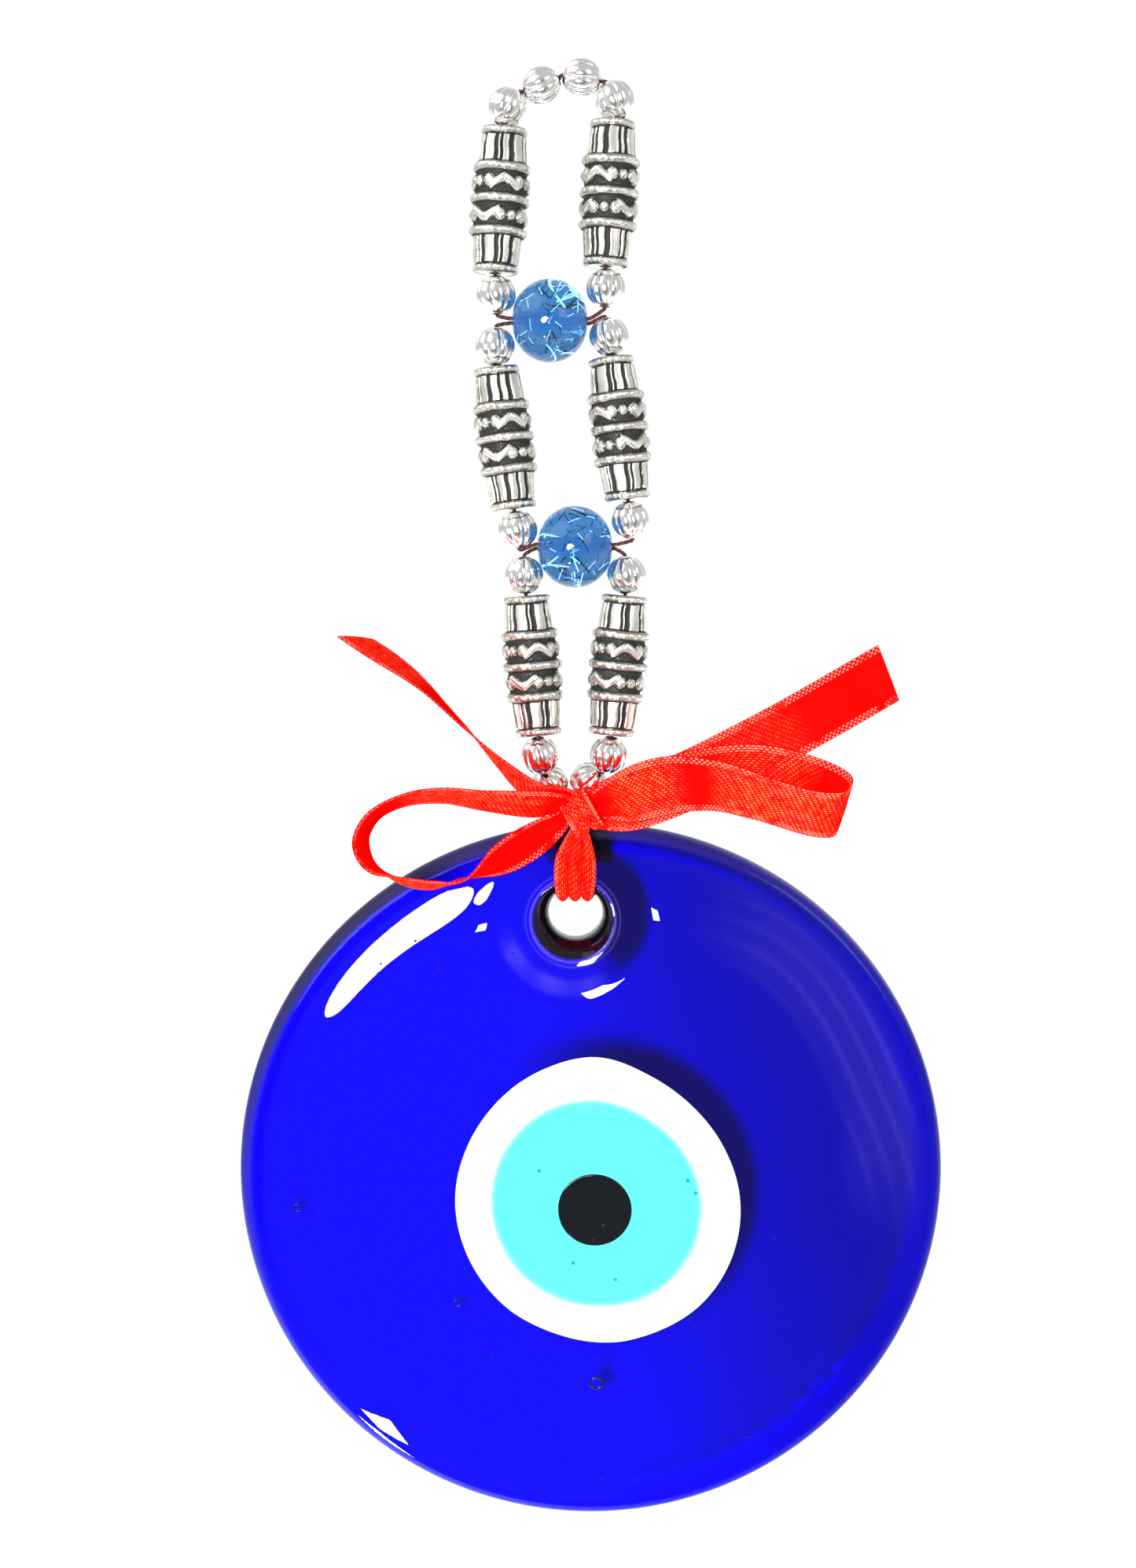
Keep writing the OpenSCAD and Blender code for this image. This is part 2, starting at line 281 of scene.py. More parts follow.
def cobalt_material():
    s = Shader("cobalt_glass")
    shade = s.value("shade")
    streaks = s.noise(38, 4, roughness=0.6)
    shade = s.math("ADD", shade, s.math("MULTIPLY", s.math("SUBTRACT", streaks, 0.5), 0.12), clamp=True)
    # the value "shade" darkens the blue: painted shade and shadows, with random streaks of tone
    blue = s.mix(shade, (0.004, 0.001, 1.0), (0.004, 0.002, 0.13))
    # near black where "shade" passes 1.1: painted shade in the hole's wall and behind the ribbon, and the dark
    # rings of the bubbles
    black = s.step(1.1, 1.6, s.value("shade"))
    blue = s.mix(black, blue, (0.004, 0.003, 0.008))
    # painted violet reflections and highlights on the glass
    blue = s.mix(s.math("MULTIPLY", s.value("painted_violet_reflection"), 0.6, clamp=True), blue, (0.33, 0.25, 1.0))
    # painted dark shade on the rim, strongest at the upper left
    blue = s.mix(s.value("edge"), blue, (0.03, 0.028, 0.085))
    dull = s.value("dull")
    opaque = s.math("MAXIMUM", black, dull)
    s.set(
        Base_Color=blue,
        Roughness=0.0,
        IOR=1.5,
        Specular_IOR_Level=s.math("SUBTRACT", 0.3, s.math("MULTIPLY", dull, 0.28)),
        Transmission_Weight=s.math("SUBTRACT", 0.72, s.math("MULTIPLY", opaque, 0.72)),
        Normal=s.bump(s.noise(24, 2), 0.35, 0.35),
    )
    return s.material


def opal_material(name, colour, speck, rim_colour=None):
    """Opaque glass with a few specks. Its colour fades into rim_colour by the value "rim"."""
    s = Shader(name)
    cells = s.node("TexVoronoi", {"Vector": s.place(), "Scale": 330.0}, output="Distance")
    rare = s.step(0.5, 0.54, s.noise(95, 2))
    specks = s.math("MULTIPLY", s.step(0.12, 0.08, cells), rare)
    base = s.mix(s.math("MULTIPLY", s.noise(60, 2), 0.5), colour, tuple(0.93 * c for c in colour))
    base = s.mix(specks, base, speck)
    if rim_colour:
        base = s.mix(s.value("rim"), base, rim_colour)
    s.set(
        Base_Color=base,
        Roughness=0.06,
        Specular_IOR_Level=0.35,
        Subsurface_Weight=0.15,
        Subsurface_Scale=MM,
        Normal=s.bump(s.noise(45, 1), 0.1, 0.25),
    )
    return s.material


def acrylic_material():
    s = Shader("blue_acrylic")
    cloud = s.noise(260, 3)
    wall = s.value("wall")
    blue = s.mix(cloud, (0.022, 0.15, 0.42), (0.06, 0.25, 0.57))
    s.set(
        # the bore's wall, by the value "wall", is painted light blue and emits a little: a painted light band
        # along the bore
        Base_Color=s.mix(wall, blue, (0.26, 0.56, 0.92)),
        Roughness=s.math("MULTIPLY", wall, 0.5),
        IOR=1.46,
        Emission_Color=(0.4, 0.7, 1.0),
        Emission_Strength=s.math("MULTIPLY", wall, 0.16),
        Transmission_Weight=s.math("SUBTRACT", 0.92, s.math("MULTIPLY", wall, 0.6)),
        Normal=s.bump(s.noise(300, 2), 0.03, 0.3),
    )
    return s.material


def foil_material(name, colour, metallic, painted_glow):
    s = Shader(name)
    s.set(
        Base_Color=s.mix(s.noise(900, 2), colour, tuple(0.7 * c for c in colour)),
        Metallic=metallic,
        Roughness=0.25,
        # emission here is painted light
        Emission_Color=colour,
        Emission_Strength=painted_glow,
    )
    return s.material


satin = satin_material()
aged_silver = silver_material("aged_silver", True)
bright_silver = silver_material("bright_silver", False)
thread_red = thread_material()
cobalt = cobalt_material()
white_opal = opal_material("white_glass", (0.93, 0.95, 0.97), (0.7, 0.75, 0.8))
turquoise_opal = opal_material("turquoise_glass", (0.1, 0.93, 0.96), (0.02, 0.3, 0.4), (0.93, 0.95, 0.97))
black_opal = opal_material("black_glass", (0.006, 0.008, 0.01), (0.02, 0.03, 0.04))
acrylic = acrylic_material()
# the light flakes emit light: painted light standing in for the flash of the foil
light_foil = foil_material("light_foil", (0.95, 0.97, 1.0), 0.0, 2.4)
dark_foil = foil_material("dark_foil", (0.01, 0.015, 0.06), 0.3, 0.0)

# ---------------------------------------------------------------- ribbon
RIBBON_W = 8.2
DEPTH_REF = (0, 1, 0)
HEIGHT_REF = (0, 0, 1)
knot_at = middle("ribbon_knot")

# x, y, z, turn of the width, share of the full width, depth of the pleats
left_strand = [
    [0.4, -5.2, -99.9, 35, 0.5, 0.5],
    [-4, -7, -99.8, 32, 0.9, 0.35],
    [-10, -9.5, -98.9, 27, 1, 0.1],
    [-16, -11.5, -98, 21, 1, 0],
    [-21, -12.5, -98.5, 16, 1, 0],
    [-25.2, -12.5, -100.6, 15, 1, 0],
    [-27, -12, -104, 13, 1, 0],
    [-25.8, -11.4, -107.4, 4, 1, 0],
    [-22, -10.6, -109.6, -15, 1, 0],
    [-17.6, -9.9, -110.5, -18, 1, 0],
    [-13.4, -9.2, -109.7, -7, 1, 0],
    [-8.6, -8.2, -107.2, -34, 1, 0.1],
    [-4.4, -7, -104.8, -42, 0.9, 0.25],
    [-0.2, -5.6, -102, -40, 0.6, 0.5],
    [2, -4.2, -100.2, -15, 0.35, 0.4],
    [1.2, -3.8, -98.8, 20, 0.45, 0.4],
    [-3.6, -5.2, -98.2, 26, 0.9, 0.3],
    [-8.4, -5.8, -94, 13, 1, 0.05],
    [-13.6, -6, -88.6, 0, 1, 0],
    [-20, -5.6, -82.4, -8, 1, 0],
    [-28.2, -4.8, -76.8, -12, 1, 0],
]
right_strand = [
    [5, -5.2, -100, 10, 0.5, 0.5],
    [9.4, -7.6, -98.4, 8, 0.9, 0.35],
    [15, -10.4, -96.6, 14, 1, 0.1],
    [21, -12.6, -96.6, 28, 1, 0],
    [27, -13.4, -98.2, 38, 1, 0],
    [33, -13, -100, 42, 1, 0],
    [37, -11.2, -100.6, 36, 1, 0],
    [38.8, -8.6, -99.9, 16, 1, 0],
    [37.2, -5.8, -98.4, 10, 1, 0],
    [32.4, -4.9, -96.6, 4, 1, 0],
    [26, -4.6, -95.6, -2, 1, 0],
    [18, -4.6, -96.6, 0, 1, 0.05],
    [10, -4.5, -98.4, 6, 0.85, 0.3],
    [5, -4.3, -99.4, 10, 0.5, 0.5],
    [3.4, -3.8, -100.6, 5, 0.35, 0.4],
    [5.2, -3.2, -101.4, 0, 0.5, 0.5],
    [10, -3.2, -100, 0, 0.9, 0.2],
    [20, -3.2, -95.6, 0, 1, 0.05],
    [32, -3.2, -89.4, 0, 1, 0],
    [45.6, -3, -81.6, 0, 1, 0],
]


def ribbon(name, route, ref, glints, closed=False, folds=2.0, thick=0.24, seed=1, slant=0.0, puffs=0):
    """A flat ribbon swept along a route. glints are (from, to, strength) along its length: painted glints
    where light grazes the weave. puffs is a number of round folds side by side, in place of the waving ones."""
    line = through(route, 0.4)
    if closed:
        line = line[:-1]
    centre, turn, share, pleat = line[:, :3], np.radians(line[:, 3]), line[:, 4], line[:, 5]
    if closed:
        t = unit(np.roll(centre, -1, 0) - np.roll(centre, 1, 0))
    else:
        t = unit(np.gradient(centre, axis=0))
    ref = np.asarray(ref, float)
    u = unit(ref - (t @ ref)[:, None] * t)
    side = np.cos(turn)[:, None] * u + np.sin(turn)[:, None] * np.cross(t, u)
    out = np.cross(t, side)
    steps = np.linalg.norm(np.diff(centre, axis=0), axis=1)
    along = np.concatenate([[0], np.cumsum(steps)])
    total = along[-1]
    m = 25
    q = np.linspace(-1, 1, m)
    rng = np.random.default_rng(seed)
    phase = rng.uniform(0, 6.28, 6)
    wave = sum(np.sin(along * f + p) * a for f, p, a in zip((0.16, 0.27, 0.43), phase, (0.2, 0.14, 0.08)))
    ripple = np.outer(wave, q * 0.6) + np.outer(np.sin(along * 0.21 + phase[4]) * 0.22, 1 - q**2)
    fold = 2 * np.abs(np.cos(np.pi * puffs / 2 * q)) - 1 if puffs else np.cos(np.pi * folds * q + phase[5])
    lift = pleat[:, None] * fold[None, :] + ripple * (share > 0.72)[:, None]
    saw = 0.05 * np.abs((along / 0.6) % 1 - 0.5)[:, None] * (np.abs(q) > 0.99)[None, :]
    half = (RIBBON_W / 2 * share)[:, None] * q[None, :] + saw * np.sign(q)[None, :]
    mid = centre[:, None, :] + half[..., None] * side[:, None, :] + lift[..., None] * out[:, None, :]
    if slant:
        reach = smoothstep(total - 6, total, along)[:, None] * (q[None, :] * slant)
        mid = mid + reach[..., None] * t[:, None, :]
    du = unit(np.gradient(mid, axis=1))
    dv = unit(np.gradient(mid, axis=0))
    normal = unit(np.cross(dv, du))
    taper = np.where(np.abs(q) > 0.97, 0.45, 1.0)[None, :, None] * thick / 2
    top, bottom = mid + taper * normal, mid - taper * normal
    rings = np.concatenate([top, bottom[:, ::-1]], axis=1)
    n = len(centre)
    o = mesh_object(name, rings.reshape(-1, 3), grid_faces(n, 2 * m, closed))
    both = np.concatenate([q, q[::-1]])
    set_values(o, "across_mm", np.tile(both * RIBBON_W / 2, n))
    set_values(o, "edge_mm", np.tile((1 - np.abs(both)) * RIBBON_W / 2, n))
    set_values(o, "along_mm", np.repeat(along, 2 * m))
    # the strength of the painted glints along the ribbon
    painted_glow = np.zeros(n)
    for a, b, strength in glints:
        way = along / total
        lit = smoothstep(a - 0.02, a + 0.02, way) * smoothstep(b + 0.02, b - 0.02, way)
        painted_glow = np.maximum(painted_glow, strength * lit)
    set_values(o, "glint", np.repeat(painted_glow, 2 * m))
    return o, [Vector(p) * MM for p in centre], total


left, left_path, left_length = ribbon(
    "ribbon_left", left_strand, DEPTH_REF,
    [(0.04, 0.21, 1), (0.36, 0.44, 0.9), (0.69, 0.82, 1), (0.9, 1.1, 0.5)], seed=3, slant=-1.7,
)
finish_piece(left, "bow", ["ribbon_loop_left", "ribbon_tail_left"], satin)
right, right_path, right_length = ribbon(
    "ribbon_right", right_strand, HEIGHT_REF,
    [(0.03, 0.1, 0.9), (0.15, 0.29, 1), (0.37, 0.46, 0.8), (0.64, 0.72, 0.7), (0.76, 0.88, 0.35)],
    seed=5, slant=0.6,
)
finish_piece(right, "bow", ["ribbon_loop_right", "ribbon_tail_right"], satin)

hole_ring = [
    [2.6, -3.4, -103.2, 0, 0.26, 0.2],
    [2.4, -3.9, -105.2, 0, 0.48, 0.45],
    [2.1, -4, -107.8, 0, 0.69, 0.8],
    [2, -3.8, -110.6, 0, 0.71, 0.8],
    [2, -3.1, -112.3, 0, 0.67, 0.6],
    [2, -1.2, -113.4, 0, 0.64, 0.42],
    [2.1, 1.6, -113.6, 0, 0.66, 0.3],
    [2.1, 4.6, -113.5, 0, 0.66, 0.3],
    [2.1, 6.2, -112.9, 0, 0.66, 0.3],
    [2.1, 6.4, -110.5, 0, 0.66, 0.3],
    [2, 6.2, -107.5, 0, 0.6, 0.3],
    [1.8, 6, -104.4, 0, 0.5, 0.3],
    [1.6, 4.9, -102.2, 0, 0.35, 0.2],
    [1.6, 2.6, -101.2, 0, 0.3, 0.15],
    [1.8, 0, -101.1, 0, 0.35, 0.2],
    [2.2, -2, -101, 0, 0.4, 0.2],
]
ring, _, _ = ribbon("ribbon_ring", hole_ring, (1, 0, 0), [(0, 0.35, 0.5)], puffs=3, seed=8, thick=0.3)
finish_piece(ring, "bow", ["ribbon_hole_loop"], satin)


def knot_route():
    """The wrap of the knot: once around, slanting a little."""
    out = []
    for k in range(13):
        a = 2 * math.pi * k / 12
        y, up = -2.25 * math.cos(a), 2.7 * math.sin(a)
        place = knot_at + (-0.5 * up, y, 0.86 * up)
        out.append([*place, 8 * math.sin(a), 0.52, 0.36])
    return out


knot, _, _ = ribbon(
    "ribbon_knot_wrap", knot_route(), (0.86, 0, 0.5), [(-0.1, 1.1, 0.9)],
    closed=True, folds=3, seed=11, thick=0.5,
)
finish_piece(knot, "bow", ["ribbon_knot"], satin)

# ---------------------------------------------------------------- beads
MELON_R, MELON_HALF = 2.7, 2.55
TUBE_HALF = 9.8
BORE_R = 0.75


def turned_bead(name, profile, sides, relief_of):
    """A bead turned about its bore. profile is (radius, z) from one mouth to the other on the outside;
    relief_of(angle, z, radius) gives a radius change and the value that the silver material reads."""
    r, z = np.array(profile, float).T
    angle = np.linspace(0, 2 * np.pi, sides, endpoint=False)
    a, zz = np.meshgrid(angle, z)
    rr = np.repeat(r[:, None], sides, 1)
    change, relief = relief_of(a, zz, rr)
    rr = rr + change
    outside = np.stack([rr * np.cos(a), rr * np.sin(a), zz], -1)
    inner_z = np.linspace(z[-1], z[0], 5)
    inside = np.stack(
        [
            np.repeat((BORE_R * np.cos(angle))[None], 5, 0),
            np.repeat((BORE_R * np.sin(angle))[None], 5, 0),
            np.repeat(inner_z[:, None], sides, 1),
        ],
        -1,
    )
    rings = np.concatenate([outside, inside])
    o = mesh_object(name, rings.reshape(-1, 3), grid_faces(len(rings), sides, True))
    set_values(o, "relief", np.concatenate([relief, np.full((5, sides), 0.2)]))
    return o


def melon_relief(a, z, r):
    lobes = 8
    crest = np.abs(np.cos(a * lobes / 2 + 0.12 * z))
    fade = smoothstep(2.5, 1.9, np.abs(z))
    change = -0.24 * fade * (1 - crest) ** 2 + 0.06 * fade * crest
    return change, 0.3 + 0.7 * smoothstep(0.02, 0.26, crest) + 0.6 * (1 - fade)


COLUMN_LINES = (  # degrees round the bead, and half the width of the groove there
    (4, 5), (31, 2.5), (44, 4.5), (83, 6), (97, 2.5), (133, 5), (150, 3), (186, 6.5), (212, 3),
    (226, 5), (262, 5), (277, 2.5), (311, 6), (336, 3),
)


def tube_relief(a, z, r):
    """Fluted columns at both ends, and two friezes of scrolls and dots between rounded rings."""
    change, relief = np.zeros_like(a), np.full_like(a, 0.85)
    away = np.abs(z)
    degrees = np.degrees(a)
    # columns
    turned = (degrees + np.where(z > 0, 17, 0) + 1.2 * np.sin(z * 1.9)) % 360
    groove = np.zeros_like(a)
    for at, half in COLUMN_LINES:
        gap = np.abs((turned - at + 180) % 360 - 180)
        groove = np.maximum(groove, smoothstep(half + 1.5, half - 1.5, gap))
    in_column = smoothstep(4.7, 4.85, away) * smoothstep(9.0, 8.85, away)
    edge_dark = np.maximum(smoothstep(5.1, 4.85, away), smoothstep(8.6, 8.8, away))
    column_r = 3.42 - 0.36 * (away - 4.8) / 4.2
    target = column_r - 0.4 * groove - 0.25 * edge_dark
    change += in_column * (target - r)
    relief = relief * (1 - in_column) + in_column * (0.95 - 1.2 * np.maximum(groove, 0.85 * edge_dark))
    # rounded rings: one on each side of the friezes, one between them, one at each end
    for at, half, top in ((4.3, 0.64, 3.98), (0.0, 0.62, 4.14), (9.3, 0.56, 3.18)):
        d = (away - at + 0.05 * np.sin(a * 3 + at)) / half
        inside = np.abs(d) < 1.2
        shape = np.sqrt(np.clip(1 - np.clip(np.abs(d), 0, 1) ** 2, 0, 1))
        wobble = 0.06 * np.sin(a * 19 + at) + 0.05 * np.sin(a * 8 + 2 * at)
        ring = top - 0.6 * (1 - shape) + wobble * shape
        change = np.where(inside, ring - r, change)
        bright = 0.05 + 0.55 * smoothstep(0.2, 0.6, shape) + 0.3 * smoothstep(0.8, 1, shape)
        relief = np.where(inside, bright, relief)
    # friezes: three times round, a dot between two scrolls whose tails run away in a wave
    b = 2.15 - away
    in_frieze = (np.abs(b) < 1.5) & (away > 0.66) & (away < 3.68)
    arc = ((degrees + np.where(z > 0, 0, 40)) % 120 - 60) / 60 * 4.3
    s = np.abs(arc)
    wave = 0.5 * np.cos((s - 2.0) * 1.37)
    stroke = np.where(s > 1.9, np.abs(b - wave) / 0.74, 9)
    bulb = np.hypot(s - 1.85, b + 0.1) / 0.98
    dot = np.hypot(arc, b + 0.1) / 0.8
    near = np.minimum(np.minimum(stroke, bulb), dot)
    swell = np.sqrt(np.clip(1 - np.clip(near, 0, 1) ** 2, 0, 1))
    grain = 0.07 * np.sin(a * 47) * np.sin(z * 13)
    target = 3.45 + grain + 0.6 * swell
    change = np.where(in_frieze, target - r, change)
    bright = 8 * np.clip(grain, 0, 1) + 0.6 * smoothstep(0.15, 0.5, swell) + 0.35 * smoothstep(0.7, 1, swell)
    relief = np.where(in_frieze, bright, relief)
    return change, relief


angles = np.linspace(-1, 1, 41)
melon_z = MELON_HALF * np.sin(angles * np.pi / 2)
melon_profile = [(math.sqrt(MELON_R**2 - z**2), z) for z in melon_z]
melon = turned_bead("melon_shape", melon_profile, 144, melon_relief)
tube_z = np.linspace(-TUBE_HALF, TUBE_HALF, 170)
tube_profile = [(BORE_R + 0.2, -TUBE_HALF), (2.2, -TUBE_HALF)] + [(3.2, z) for z in tube_z]
tube_profile += [(2.2, TUBE_HALF), (BORE_R + 0.2, TUBE_HALF)]
tube = turned_bead(
    "tube_shape", tube_profile, 180,
    lambda a, z, r: tuple(np.where(r > 3, v, w) for v, w in zip(tube_relief(a, z, r), (0.0, 0.9))),
)
shapes = {"melon": (melon.data, bright_silver), "tube": (tube.data, aged_silver)}
melon.data.materials.append(bright_silver)
tube.data.materials.append(aged_silver)
bpy.data.objects.remove(melon)
bpy.data.objects.remove(tube)

spin_of = random.Random(21)
facing = {"tube_upper_left": 150, "tube_upper_right": 190, "tube_middle_left": 200, "tube_middle_right": 148}
for joint in frame["joints"]:
    node = joint["child"]
    kind = node.split("_")[0]
    if kind not in shapes:
        continue
    o = bpy.data.objects.new("bead_" + node, shapes[kind][0])
    bpy.context.scene.collection.objects.link(o)
    turn = math.radians(facing.get(node, spin_of.uniform(0, 360)))
    lie = Vector(joint["axis"]).to_track_quat("Z", "Y").to_matrix().to_4x4()
    o.matrix_world = Matrix.Translation(joint["pos_m"]) @ lie @ Matrix.Rotation(turn, 4, "Z")
    finish_piece(o, node, [node])

# ---------------------------------------------------------------- blue beads
BLUE_HALF, BLUE_SWELL, BLUE_BORE = 5.2, 0.5, 0.95
BOX_FACES = ((0, 1, 3, 2), (4, 6, 7, 5), (0, 4, 5, 1), (2, 3, 7, 6), (0, 2, 6, 4), (1, 5, 7, 3))


def blue_bead(node, seed):
    centre = np.array(joints["spin_" + node]["pos_m"]) / MM
    arc = np.linspace(-1, 1, 49) * math.acos((BLUE_BORE - BLUE_SWELL) / BLUE_HALF)
    r = BLUE_SWELL + BLUE_HALF * np.cos(arc)
    x = BLUE_HALF * np.sin(arc)
    r, x = np.concatenate([r, np.full(11, BLUE_BORE)]), np.concatenate([x, np.linspace(x[-1], x[0], 11)])
    a = np.linspace(0, 2 * np.pi, 72, endpoint=False)
    rings = np.stack([np.repeat(x[:, None], 72, 1), np.outer(r, np.cos(a)), np.outer(r, np.sin(a))], -1)
    rings = rings + centre
    o = mesh_object("bead_" + node, rings.reshape(-1, 3), grid_faces(len(r), 72, True))
    # the bore's wall, where the acrylic paints a light band
    set_values(o, "wall", np.repeat(np.arange(len(r)) >= len(r) - 11, 72))
    finish_piece(o, node, [node], acrylic)
    rng = random.Random(seed)
    for name, material, count, length in (("light", light_foil, 46, 1.75), ("dark", dark_foil, 60, 1.6)):
        points, faces = [], []
        while len(points) < 8 * count:
            at = Vector([rng.uniform(-1, 1) for _ in range(3)]) * 4.6
            if not 2.9 < at.length < 4.7 or math.hypot(at.y, at.z) < 1.9:
                continue
            ray = Vector([rng.gauss(0, 1) for _ in range(3)]).normalized()
            flat = ray.orthogonal().normalized()
            up = ray.cross(flat)
            half = length * rng.uniform(0.25, 0.5)
            base = len(points)
            for i in (-half, half):
                for j in (-0.055, 0.055):
                    for k in (-0.02, 0.02):
                        points.append(Vector(centre) + at + i * ray + j * flat + k * up)
            faces += [tuple(base + v for v in face) for face in BOX_FACES]
        foil = mesh_object(f"foil_{name}_{node}", points, faces, False)
        finish_piece(foil, node, (), material)


blue_bead("blue_bead_upper", 4)
blue_bead("blue_bead_lower", 9)

# ---------------------------------------------------------------- thread
THREAD_R = 0.27


def bead_end(node, side, past):
    """A point on a bead's bore axis, past its mouth. side is -1 at the end the thread comes to first."""
    j = joints["spin_" + node]
    half = TUBE_HALF if node.startswith("tube") else MELON_HALF
    return np.array(j["pos_m"]) / MM + side * (half + past) * np.array(j["axis"])


def strand(nodes, back=False):
    points = []
    for n in nodes:
        points += [bead_end(n, -1, -0.5), bead_end(n, 1, -0.5)]
    return points[::-1] if back else points


def blue_point(node, x, y):
    """A point in a blue bead's bore. The front thread goes on upwards, so it lies a little higher."""
    return np.array(joints["spin_" + node]["pos_m"]) / MM + np.array([x, y, -0.7 * y])


def level(name, side, count):
    nodes = [f"melon_{name}_{side}_{k}" for k in range(1, count + 1)]
    nodes.insert(2 if name == "upper" else 1, f"tube_{name}_{side}")
    return nodes


def thread(node, body, points):
    line = through([list(p) for p in points], 0.35)
    t = unit(np.gradient(line, axis=0))
    u = unit(np.array([0, 1.0, 0]) - (t @ np.array([0, 1.0, 0]))[:, None] * t)
    w = np.cross(t, u)
    a = np.linspace(0, 2 * np.pi, 10, endpoint=False)
    round_it = np.cos(a)[None, :, None] * u[:, None] + np.sin(a)[None, :, None] * w[:, None]
    rings = line[:, None, :] + THREAD_R * round_it
    o = mesh_object(node + "_line", rings.reshape(-1, 3), grid_faces(len(line), 10, False))
    along = np.concatenate([[0], np.cumsum(np.linalg.norm(np.diff(line, axis=0), axis=1))])
    set_values(o, "twist", (along[:, None] * 7 + 2 * a[None, :]))
    finish_piece(o, body, [node], thread_red)


B1, B2 = "blue_bead_upper", "blue_bead_lower"
thread(
    "upper_thread", "hanger",
    [blue_point(B1, x, -0.4) for x in (0.2, 4.8, 5.6)] + [bead_end("melon_upper_right_3", 1, 0.3)]
    + strand(level("upper", "right", 3), True) + [[0, 0, 0.05]] + strand(level("upper", "left", 3))
    + [bead_end("melon_upper_left_3", 1, 0.3)] + [blue_point(B1, x, -0.4) for x in (-5.6, -4.8, -0.2)],
)
thread(
    "middle_thread", "middle_ladder",
    [blue_point(B1, x, 0.4) for x in (0.2, 4.8, 5.6)] + [bead_end("melon_middle_right_1", -1, 0.3)]
    + strand(level("middle", "right", 2)) + [bead_end("melon_middle_right_2", 1, 0.3)]
    + [blue_point(B2, x, -0.4) for x in (5.6, 4.8, 0, -4.8, -5.6)] + [bead_end("melon_middle_left_2", 1, 0.3)]
    + strand(level("middle", "left", 2), True) + [bead_end("melon_middle_left_1", -1, 0.3)]
    + [blue_point(B1, x, 0.4) for x in (-5.6, -4.8, -0.2)],
)
thread(
    "lower_thread", "lower_ladder",
    [blue_point(B2, x, 0.4) for x in (0.2, 4.8, 5.6)] + [bead_end("melon_lower_right_1", -1, 0.3)]
    + strand(level("lower", "right", 3))
    + [[3.25, 3.4, -101], [3, 2.6, -102.2], [0.2, 2.6, -102.2], [-0.1, 3.6, -101]]
    + strand(level("lower", "left", 3), True) + [bead_end("melon_lower_left_1", -1, 0.3)]
    + [blue_point(B2, x, 0.4) for x in (-5.6, -4.8, -0.2)],
)

# ---------------------------------------------------------------- glass eye
DISC_Y = middle("glass_disc")[1]
DISC = middle("glass_disc")[[0, 2]]
DISC_R, DISC_HALF = (np.array(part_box("glass_disc")[1]) / MM - middle("glass_disc"))[:2]
FACE_R = DISC_R - 2.1  # where the faces end and the round rim begins
HOLE = np.array(joints["eye_swing"]["pos_m"])[[0, 2]] / MM
FUNNEL = HOLE + (-0.4, -0.7)
WHITE = middle("white_glass")[[0, 2]]
BUBBLES = [(5.1, -183.6, 1.0), (-14.9, -171.8, 0.6), (-37.7, -158.0, 0.6)]


def front_y(x, z):
    """Where the poured front face is: nearly flat, with a soft shoulder, and low around the hole."""
    r = np.hypot(x - DISC[0], z - DISC[1])
    angle = np.arctan2(z - DISC[1], x - DISC[0])
    start = 38.5 + 1.6 * np.sin(3 * angle + 0.7) + 1.0 * np.sin(5 * angle + 2.1)
    fall = 1.25 * np.clip((r - start) / (49 - start), 0, 1.3) ** 1.7
    h = np.hypot(x - FUNNEL[0], z - FUNNEL[1])
    dip = 0.55 * np.exp(-(((h - 5.4) / 4.2) ** 2))
    wave = 0.07 * np.sin(0.11 * x + 0.05 * z + 1.0) + 0.05 * np.sin(0.09 * z - 0.06 * x + 2.0)
    return DISC_Y - DISC_HALF + fall + dip + wave * smoothstep(50, 44, r)


def painted_glass_shade(x, z):
    """Painted shade and shadows in the glass: it is darker to the right, beside the hole and the white drop,
    under the bubbles, behind the ribbon and in a line along the rim at the upper left. A row of painted
    brighter flecks runs near the rim at the lower right."""
    dx, dz = x - DISC[0], z - DISC[1]
    r, around = np.hypot(dx, dz), np.arctan2(dz, dx)
    # painted shade: the glass darker towards the right, away from the light
    right = 0.68 * smoothstep(-22, 40, dx + 0.25 * dz)
    hx, hz = x - HOLE[0], z - HOLE[1]
    h, ha = np.hypot(hx, hz), np.arctan2(hz, hx)
    # painted shadow of the hole's wall, to the right of the hole
    hole_wall_shadow = smoothstep(11.4, 9.0, h) * smoothstep(4.5, 6.0, h) * smoothstep(1.5, 0.5, np.abs(ha - 0.1))
    wx, wz = x - WHITE[0], z - WHITE[1]
    w, wa = np.hypot(wx, wz), np.arctan2(wz, wx)
    # painted shadow of the white drop, to its upper right
    white_drop_shadow = smoothstep(24.5, 20.6, w) * smoothstep(1.9, 0.7, np.abs(wa - 0.55))
    # painted shade: a dark line along the rim at the upper left
    left = np.clip(np.cos(around - 2.2), 0, 1)
    rim = left * np.exp(-(((r - FACE_R) / 0.6) ** 2))
    blue = np.clip(right + 0.85 * hole_wall_shadow + 0.75 * white_drop_shadow + 0.5 * rim, 0, 1)
    # painted light: brighter flecks near the rim at the lower right, where light comes through the glass
    painted_glow = smoothstep(1.7, 0.6, np.abs(r - 45.2)) * smoothstep(0.42, 0.2, np.abs(around + 0.95))
    blue = blue - 0.75 * painted_glow * smoothstep(0.1, 0.8, np.sin(3.4 * r + 31 * around))
    # painted shadows of the bubbles, offset to the upper right
    for bx, bz, br in BUBBLES:
        away = np.hypot(x - bx - 1.5 * br, z - bz - br)
        blue = np.maximum(blue, 0.8 * smoothstep(1.9 * br, 0.7 * br, away))
    # painted shadow behind the ribbon above the hole
    behind = smoothstep(5.0, 4.1, np.abs(x - 2.75)) * smoothstep(-109.2, -107.6, z)
    return np.maximum(blue, 0) + behind


